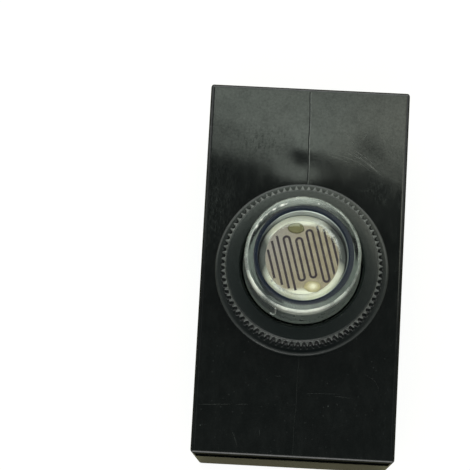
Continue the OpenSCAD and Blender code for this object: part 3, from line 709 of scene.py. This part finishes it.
def lens_cap():
    """Clear cup with a rounded, slightly uneven front rim."""
    foot, front = LENS_FOOT_D / 2, LENS_D / 2
    bore = LENS_BORE_D / 2
    lip = LIP_D / 2 + 0.1
    lip_z = STEM_TOP + LIP_H
    ceiling = LENS_TOP - LENS_FRONT_T
    dip = LENS_TOP - 0.04
    around = 360
    window, rim, wall, base, haze = range(5)

    # Each row: radius, height, how uneven it is, and the finish of the band after it
    rows = [(r, dip, 0, window) for r in (0.001, 1.5, 3.0, 4.5, 5.6, 6.2)]
    rows += [(6.6, dip, 0, haze), (7.02, LENS_TOP - 0.037, 0, haze),
             (7.16, LENS_TOP - 0.03, 0.1, haze), (7.36, LENS_TOP - 0.02, 0.4, haze)]
    edge = arc(front - LENS_EDGE_R - 0.02, LENS_TOP - LENS_EDGE_R, LENS_EDGE_R, 90, 0, 12)
    rows += [(r, z, 1.0, rim if i > 1 else haze) for i, (r, z) in enumerate(edge)]
    for i in range(1, 13):
        t = i / 12
        rows.append((side_r(t), LENS_TOP - LENS_EDGE_R - LENS_SIDE_H * t, max(0.0, 0.8 - 2 * t),
                     rim if t < 0.14 else wall))
    rows += [(foot - 0.07, STEM_TOP + 0.05, 0, wall), (foot - 0.15, STEM_TOP, 0, base),
             (lip + 0.1, STEM_TOP, 0, base), (lip, STEM_TOP + 0.06, 0, base),
             (lip, lip_z + 0.02, 0, base), (lip - 0.08, lip_z + 0.1, 0, base),
             (bore + 0.1, lip_z + 0.1, 0, base), (bore, lip_z + 0.2, 0, window)]
    outside = len(rows)
    for i in range(1, 7):
        rows.append((bore, STEM_TOP + 1 + (ceiling - 0.1 - STEM_TOP - 1) * i / 6, 0, window))
    rows += [(bore - 0.01, ceiling, 0, window)]
    rows += [(r, ceiling, 0, window) for r in (6.2, 5.0, 3.0, 1.5, 0.001)]

    loops = []
    for i, (r, z, uneven, _) in enumerate(rows):
        x, y = CORE if i >= outside else (0.0, 0.0)
        loop = []
        for j in range(around):
            a = 2 * math.pi * j / around
            dr = dz = 0.0
            if uneven:
                dr = uneven * (0.035 * wave(a, 1, 26) + 0.03 * wave(a, 2, 70) - 0.03
                               + 0.24 * max(0.0, math.sin(a)) ** 3
                               + 0.12 * max(0.0, math.cos(a)) ** 2)
                dz = uneven * (0.05 * wave(a, 3, 34) - 0.03)
            loop.append(((x + (r + dr) * math.cos(a)) * MM, (y + (r + dr) * math.sin(a)) * MM,
                         (z + dz) * MM))
        loops.append(loop)
    mesh = ring_mesh("lens_clear_cap", loops, closed=False)
    for i, p in enumerate(mesh.polygons):
        p.material_index = rows[i // around][3]
    b = opened(mesh)
    # The edge between the bore and the ceiling stays sharp
    for e in b.edges:
        e.smooth = not all(abs(v.co.z - ceiling * MM) < 1e-6 and v.co.xy.length > 6.5 * MM
                           for v in e.verts)
    o = add("lens_clear_cap", keep(b, mesh), "case",
            [lens_look(), rim_look(), wall_look(), foot_look(), haze_look()])
    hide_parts("lens_cap")


def lens_drip():
    """A hardened run of cement on the cap's side, hooked at its foot."""
    # Each point: turn in degrees, height and half-width in mm
    path = [(245.2, 42.2, 0.05), (245.8, 41.2, 0.10), (246.0, 39.9, 0.10), (245.9, 38.5, 0.10),
            (245.4, 37.3, 0.11), (244.3, 36.4, 0.11), (242.8, 35.9, 0.12), (241.2, 35.7, 0.12),
            (240.0, 35.7, 0.06)]
    hook_z = 37.2
    around = 10
    b = bmesh.new()
    rings = []
    for degrees, z, r in path:
        a = math.radians(degrees)
        wall = side_r(max(0.0, (LENS_TOP - LENS_EDGE_R - z) / LENS_SIDE_H))
        out = Vector((math.cos(a), math.sin(a), 0))
        run = Vector((0, 0, 1)) if z > hook_z else Vector((-math.sin(a), math.cos(a), 0))
        side = out.cross(run)
        middle = out * (wall + 0.02) + Vector((0, 0, z))
        turns = [2 * math.pi * j / around for j in range(around)]
        rings.append([b.verts.new((middle + (out * math.cos(t) + side * math.sin(t)) * r) * MM)
                      for t in turns])
    for p, q in zip(rings, rings[1:]):
        for j in range(around):
            n = (j + 1) % around
            b.faces.new((p[j], p[n], q[n], q[j]))
    b.faces.new(rings[0][::-1])
    b.faces.new(rings[-1])
    add("lens_drip", keep(b, bpy.data.meshes.new("lens_drip")), "case",
        plain_look("cement_pale", (0.40, 0.43, 0.40), (0.66, 0.69, 0.64), 0.3))


# ----------------------------------------------------------------- the cell

def dab(name, middle, size, high, seed, flat, look):
    """A low uneven blob of solder on the cell's front."""
    b = bmesh.new()
    rings, around = 8, 40
    last = [b.verts.new((middle[0] * MM, middle[1] * MM, (FILM_TOP + high) * MM))]
    for i in range(1, rings + 1):
        t = i / rings
        z = FILM_TOP + high * (1 - t ** flat) - (0.03 if i == rings else 0.0)
        ring = []
        for j in range(around):
            a = 2 * math.pi * j / around
            r = t * (1 + 0.22 * wave(a, seed, 5) + 0.08 * wave(a, seed + 4, 14)) / 2
            ring.append(b.verts.new(((middle[0] + size[0] * r * math.cos(a)) * MM,
                                     (middle[1] + size[1] * r * math.sin(a)) * MM, z * MM)))
        for j in range(around):
            n = (j + 1) % around
            if i == 1:
                b.faces.new((last[0], ring[j], ring[n]))
            else:
                b.faces.new((last[j], ring[j], ring[n], last[n]))
        last = ring
    b.faces.new(last[::-1])
    o = add(name, keep(b, bpy.data.meshes.new(name)), "case", look)
    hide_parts("cell_solder")


def cell_pieces():
    """The ceramic disc and its rounded edge, the resin, the tube's rim and the solder dabs."""
    back = CELL_TOP - 1.9
    rows = [(r, CELL_TOP) for r in (0.001, 2.0, 4.0, 5.15)]
    rows += arc(5.2, CELL_TOP - 0.95, 0.95, 88, 8, 10)
    rows += [(6.17, CELL_TOP - 1.2), (6.17, CELL_TOP - 1.8), (6.1, back), (4.0, back),
             (0.001, back)]
    o = turned("cell_ceramic", rows, "case", ceramic_look())
    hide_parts("cell_disc")
    rows = [(0.001, FILM_TOP + 0.42), (3.0, FILM_TOP + 0.42), (4.6, FILM_TOP + 0.40),
            (5.1, FILM_TOP + 0.36)]
    rows += arc(5.2, FILM_TOP - 0.50, 0.85, 80, 10, 10)
    rows += [(6.10, CELL_TOP - 0.50), (6.02, CELL_TOP - 0.62)]
    turned("cell_coat", rows, "case", coat_look())

    top = LENS_TOP - LENS_FRONT_T - 0.07
    rows = [(6.29, top - 0.8, *TUBE_AXIS), (6.29, top - 0.01, *TUBE_AXIS),
            (6.3, top, *TUBE_AXIS), (6.97, top, *CORE), (6.98, top - 0.01, *CORE),
            (6.98, top - 0.8, *CORE)]
    tube = holder_look()
    dress("cell_holder", tube)
    turned("cell_tube_rim", rows, "case", tube, smooth=False)

    dab("solder_dab_high", SOLDER_HIGH, (2.4, 1.5), 0.33, 11, 12,
        plain_look("solder_olive", (0.135, 0.125, 0.042), (0.20, 0.185, 0.085), 0.75, 0.8))
    dab("solder_dab_low", SOLDER_LOW, (2.3, 1.5), 0.40, 23, 2.2, solder_look())


# --------------------------------------------------------- marks on the box

def ribbon(b, path, wide, high, ends=0.15, finish=(0, 0)):
    """A low ridge along points of the face, with the looks of its left and right flank.

    wide is half its width, and it thins out over the share of its length in ends.
    """
    left, right, top = [], [], []
    n = len(path)
    for i, (x, y) in enumerate(path):
        x0, y0 = path[max(0, i - 1)]
        x1, y1 = path[min(n - 1, i + 1)]
        run = math.hypot(x1 - x0, y1 - y0)
        nx, ny = (y1 - y0) / run, -(x1 - x0) / run
        t = i / (n - 1)
        thin = min(1.0, t / ends + 0.1, (1 - t) / ends + 0.1) if ends else 1.0
        w = wide * thin * (1 + 0.25 * noise.noise(Vector((x * 1.7, y * 1.7, 2.0))))
        h = high * thin * (1 + 0.4 * noise.noise(Vector((x * 2.1, y * 2.1, 5.0))))
        for row, side, z in ((left, -w, -0.004), (top, 0, h), (right, w, -0.004)):
            row.append(b.verts.new(((x + side * nx) * MM, (y + side * ny) * MM,
                                    (BODY_H + z) * MM)))
    for i in range(n - 1):
        b.faces.new((left[i], left[i + 1], top[i + 1], top[i])).material_index = finish[0]
        b.faces.new((top[i], top[i + 1], right[i + 1], right[i])).material_index = finish[1]
        b.faces.new((left[i], right[i], right[i + 1], left[i + 1]))
    for i in (0, n - 1):
        b.faces.new((left[i], top[i], right[i]))


def ridge_piece(name, b, looks):
    """Adds ridges of the box's face as one piece."""
    add(name, keep(b, bpy.data.meshes.new(name)), "case", looks,
        smooth=False)


def mould_line():
    """The fine raised line that the two halves of the mould leave across the face."""
    half = BODY_L / 2

    def path(y0, y1, steps=60):
        """Points down the face, slightly bowed and wavy."""
        points = []
        for i in range(steps + 1):
            y = y0 + (y1 - y0) * i / steps
            bow = 0.35 * (y / half) ** 2 * (1 if y < 0 else 0.9)
            points.append((0.35 - bow + 0.04 * math.sin(y * 0.9), y))
        return points

    # One flank is pale as a painted highlight, most near the top of the face, the other black with
    # little gloss as painted shade; the flanks swap below the nut
    pale, dark = 0, 1
    b = bmesh.new()
    ribbon(b, path(half - EDGE_R, FLANGE_D / 2 + 0.15), 0.14, 0.056, 0, (pale, dark))
    ribbon(b, path(-FLANGE_D / 2 - 0.15, -half + EDGE_R), 0.07, 0.012, 0, (dark, pale))
    k = Look("mould_line_glint")
    wear_and_glint = k.times(k.fit(k.noise(0.7, 3, 0.6), 0.30, 0.60, 0.5, 1.0),
                   k.span(k.hump((0, 21, BODY_H), (20, 12, 6)), 0.03, 1.0))
    k.to(Base_Color=k.mix(wear_and_glint, (0.006, 0.008, 0.007), (0.118, 0.129, 0.121)),
         Roughness=k.span(k.noise(0.6), 0.18, 0.32))
    k.height(k.noise(0.3), 0.002)
    d = Look("mould_line_black", Specular_IOR_Level=0.15)
    d.to(Base_Color=d.mix(d.noise(1.2), (0.003, 0.004, 0.004), (0.008, 0.009, 0.009)),
         Roughness=d.span(d.noise(0.6), 0.12, 0.2))
    d.height(d.noise(0.3), 0.002)
    ridge_piece("mould_line", b, [k.bump(), d.bump()])


# Fine scratches on the face: points in millimetres, half the width
SCRATCHES = [
    ([(-13.7, -20.2), (-11.6, -20.1), (-9.0, -19.9)], 0.055),
    ([(-8.6, -19.95), (-6.6, -19.8)], 0.03),
    ([(0.4, -18.0), (3.4, -17.75), (6.6, -17.7)], 0.025),
    ([(5.2, -18.0), (8.2, -18.2)], 0.022),
    ([(-8.9, -23.6), (-8.3, -25.0), (-7.9, -26.2)], 0.05),
    ([(-4.9, -23.3), (-4.85, -24.3)], 0.06),
    ([(3.3, 18.1), (5.9, 17.7), (8.4, 16.7), (10.2, 15.4), (11.5, 14.1)], 0.06),
    ([(4.6, 18.2), (6.8, 17.5), (8.8, 16.3), (10.6, 14.9)], 0.07),
    ([(5.9, 18.3), (7.9, 17.1), (9.6, 15.8), (10.9, 14.6)], 0.07),
    ([(2.4, 17.4), (4.7, 16.9), (6.6, 16.1)], 0.06),
    ([(3.0, 17.7), (5.4, 17.2), (7.6, 16.4), (9.6, 15.1)], 0.08),
    ([(6.2, 18.6), (8.4, 17.3), (10.2, 15.9)], 0.07),
    ([(6.9, 24.9), (7.4, 22.8), (7.9, 21.2)], 0.05),
    ([(4.9, 21.3), (6.0, 20.2), (6.9, 18.9)], 0.045),
    ([(8.9, 21.2), (8.1, 20.0), (7.6, 19.2)], 0.04),
    ([(9.6, -14.6), (11.2, -15.4), (11.9, -16.6), (11.5, -17.7)], 0.014),
    ([(-11.8, 21.4), (-11.3, 20.2)], 0.04),
    ([(-3.1, -15.6), (-2.2, -15.5)], 0.035),
]


def through(points, steps=8):
    """A smooth curve through the points."""
    path = []
    for i in range(len(points) - 1):
        p0 = Vector(points[max(0, i - 1)])
        p1, p2 = Vector(points[i]), Vector(points[i + 1])
        p3 = Vector(points[min(len(points) - 1, i + 2)])
        for j in range(steps):
            t = j / steps
            p = 0.5 * (2 * p1 + (p2 - p0) * t + (2 * p0 - 5 * p1 + 4 * p2 - p3) * t * t
                       + (3 * p1 - p0 - 3 * p2 + p3) * t ** 3)
            path.append((p.x, p.y))
    return path + [points[-1]]


def face_marks():
    """Light scratches from handling, a few hundredths of a millimetre wide, paled as painted
    glints.
    """
    b = bmesh.new()
    for points, wide in SCRATCHES:
        ribbon(b, through(points), wide, 0.0025, 0.3)
    k = Look("scratch_pale")
    # Painted glints: the scratches are paler where they catch the light, most to the upper right
    pale = k.times(k.fit(k.noise(0.5, 3, 0.6), 0.30, 0.60),
                   k.span(k.hump((7, 17, BODY_H), (12, 9, 6)), 0.24, 1.0))
    k.to(Base_Color=k.mix(pale, (0.006, 0.008, 0.008), (0.095, 0.100, 0.092)),
         Roughness=k.span(k.noise(0.3), 0.10, 0.25))
    k.height(k.noise(0.2), 0.001)
    ridge_piece("face_marks", b, [k.bump()])


# ------------------------------------------------------------------ dressing

dress("housing", housing_look())
dress("back_cover", cover_look())
dress("cell_film", film_look())
dress("cell_electrodes", electrode_look())
dress("base_board", board_look())
for look, nodes in (
        (metal_look("wire_tinned", (0.55, 0.55, 0.54), (0.75, 0.75, 0.73), 0.3),
         ("cell_wires", "heater_wires", "surge_wires")),
        (metal_look("brass_strip", (0.62, 0.42, 0.16), (0.80, 0.60, 0.28), 0.34, (1, 4, 4)),
         ("blade_bracket", "contact_bracket", "blade_rivets", "adjuster_bush", "board_rivets",
          "line_terminal", "load_terminal", "neutral_terminal")),
        (metal_look("screw_steel", (0.42, 0.42, 0.41), (0.62, 0.62, 0.60), 0.32),
         ("board_screws", "adjusting_screw")),
        (metal_look("contact_silver", (0.70, 0.70, 0.69), (0.88, 0.88, 0.86), 0.25),
         ("moving_contact", "fixed_contact")),
        (metal_look("blade_metal", (0.48, 0.46, 0.42), (0.62, 0.60, 0.55), 0.35, (4, 1, 1)),
         ("contact_blade",)),
        (metal_look("copper_strip", (0.55, 0.26, 0.14), (0.72, 0.38, 0.22), 0.38, (4, 1, 1)),
         ("load_strip",)),
        (plain_look("sleeve_cream", (0.62, 0.60, 0.50), (0.78, 0.76, 0.68), 0.5),
         ("cell_sleeves",)),
        (plain_look("heater_ceramic", (0.50, 0.47, 0.40), (0.66, 0.63, 0.56), 0.6),
         ("heater_body",)),
        (plain_look("surge_blue", (0.02, 0.06, 0.24), (0.04, 0.10, 0.34), 0.35),
         ("surge_disc",))):
    for n in nodes:
        dress(n, look)

lock_nut()
lens_cap()
lens_drip()
cell_pieces()
mould_line()
face_marks()


# ------------------------------------------------- floor, lamps and camera

def floor():
    """A pale floor that is white to the camera and keeps the shadow."""
    mesh = bpy.data.meshes.new("floor")
    s, z = 3.0, -0.00005
    mesh.from_pydata([(-s, -s, z), (s, -s, z), (s, s, z), (-s, s, z)], [], [(0, 1, 2, 3)])
    o = new_object("floor", mesh)
    k = Look("floor_white", Base_Color=(0.165, 0.155, 0.100), Roughness=0.9,
             Specular_IOR_Level=0.0)
    path = k.node("ShaderNodeLightPath")
    seen = k.most(path.outputs["Is Camera Ray"], path.outputs["Is Transmission Ray"])
    glow = k.node("ShaderNodeEmission")
    k.put((0.96, 0.97, 1.0), glow.inputs["Color"])
    k.put(k.times(seen, 0.92), glow.inputs["Strength"])
    both = k.node("ShaderNodeAddShader")
    k.link(k.shader.outputs[0], both.inputs[0])
    k.link(glow.outputs[0], both.inputs[1])
    k.link(both.outputs[0], k.out.inputs["Surface"])
    mesh.materials.append(k.mat)


def soft_box():
    """The main light: its near edge is mirrored across the box's face."""
    lean = math.radians(-11.5)
    wide, deep, near, up = 560.0, 360.0, 91.7, 378.5
    mesh = bpy.data.meshes.new("soft_box")
    w, d = wide / 2 * MM, deep * MM
    mesh.from_pydata([(-w, 0, 0), (w, 0, 0), (w, d, 0), (-w, d, 0)], [], [(0, 3, 2, 1)])
    o = new_object("soft_box", mesh)
    o.matrix_world = Matrix.Translation((0, near * MM, up * MM)) @ Matrix.Rotation(lean, 4, "Z")
    k = Look("soft_box_glow")
    side = k.node("ShaderNodeNewGeometry")
    front = k.math("SUBTRACT", 1.0, side.outputs["Backfacing"])
    # Brightest along the near edge, and warmer to the right
    glow = k.node("ShaderNodeEmission")
    k.put(k.times(k.fit(k.mm(1), 0, 30, 2.85, 2.05), front), glow.inputs["Strength"])
    k.put(k.mix(k.fit(k.mm(0), -20, 90), (0.905, 1.02, 0.90), (0.965, 1.0, 0.84)),
          glow.inputs["Color"])
    k.link(glow.outputs[0], k.out.inputs["Surface"])
    mesh.materials.append(k.mat)
    o.visible_camera = False


def lamp(name, at, size, level, colour, diffuse=True, glossy=True):
    """A soft box of a size in mm, aimed at the lens; level is how bright its face is."""
    aim = Vector((0, 0, 35))
    wide, deep = size[0] * MM, size[1] * MM
    data = bpy.data.lights.new(name, "AREA")
    data.shape = "RECTANGLE"
    data.size, data.size_y = wide, deep
    data.energy = level * math.pi * wide * deep
    data.color = colour
    o = new_object(name, data)
    o.location = Vector(at) * MM
    o.rotation_mode = "QUATERNION"
    o.rotation_quaternion = (aim - Vector(at)).to_track_quat("-Z", "Y")
    o.visible_camera = False
    o.visible_diffuse = diffuse
    o.visible_glossy = o.visible_transmission = glossy


def world():
    """The room: what the piece mirrors, what shines through the lens, and the daylight."""
    w = bpy.data.worlds.new("studio")
    bpy.context.scene.world = w
    w.use_nodes = True
    w.node_tree.nodes.clear()
    k = Nodes(w.node_tree)
    out = k.node("ShaderNodeOutputWorld")
    path = k.node("ShaderNodeLightPath")
    split = k.node("ShaderNodeSeparateXYZ")
    k.link(k.node("ShaderNodeTexCoord").outputs["Generated"], split.inputs[0])
    x, y, z = split.outputs
    aside = k.math("ABSOLUTE", x)

    def light(colour, strength):
        n = k.node("ShaderNodeBackground")
        k.put(colour, n.inputs["Color"])
        k.put(strength, n.inputs["Strength"])
        return n.outputs[0]

    # Pale walls low down and a darker ceiling, seen through the lens
    walls = k.fit(z, 0.45, 0.90, 1.1, 0.10)
    # Mirrored: walls before and behind, dim sides
    far = k.times(k.most(k.fit(y, 0.20, 0.75, 0.16, 2.3), k.fit(y, -0.85, -0.25, 1.5, 0.16)),
                  k.fit(z, 0.55, 0.92, 1.0, 0.0))
    dim = k.math("MINIMUM", k.fit(aside, 0.10, 0.20, 0.0, 0.34),
                 k.fit(aside, 0.30, 0.42, 0.34, 0.0))
    # Pale cloth at both sides beyond the soft box, which the box's long edges mirror
    cloth = k.times(k.fit(aside, 0.50, 0.62, 0.0, 1.25), k.fit(y, 0.13, 0.22),
                    k.fit(z, -0.05, 0.05))
    room = k.blend(path.outputs["Is Reflection Ray"], light((0.95, 1.0, 0.97), walls),
                   light((0.97, 1.0, 0.98), k.most(far, 0.10, dim, cloth)))
    # Most of the soft daylight comes from beyond the top of the box
    daylight = light((1, 1, 1), k.fit(y, -0.35, 0.55, 0.10, 0.85))
    inside = k.blend(path.outputs["Is Diffuse Ray"], room, daylight)
    k.link(k.blend(path.outputs["Is Camera Ray"], inside, light((1, 1, 1), 1.0)),
           out.inputs["Surface"])


def camera():
    """A long lens over the face, a little below its middle."""
    data = bpy.data.cameras.new("camera")
    data.sensor_width = 36
    data.lens = 159.25
    data.clip_start = 0.01
    data.clip_end = 20
    o = new_object("camera", data)
    o.location = (-0.534 * MM, -42.803 * MM, 328.5 * MM)
    turn = Vector((0.158, 0.027, 0.053))
    o.rotation_mode = "QUATERNION"
    o.rotation_quaternion = Quaternion(turn.normalized(), turn.length)
    bpy.context.scene.camera = o


floor()
world()
camera()
soft_box()
lamp("front", (-60, -420, 190), (420, 240), 2.2, (1.0, 0.99, 0.95), diffuse=False)
lamp("fill", (-20, -170, 430), (200, 200), 7.0, (0.98, 1.0, 0.99), glossy=False)

scene = bpy.context.scene
scene.view_settings.view_transform = "Standard"
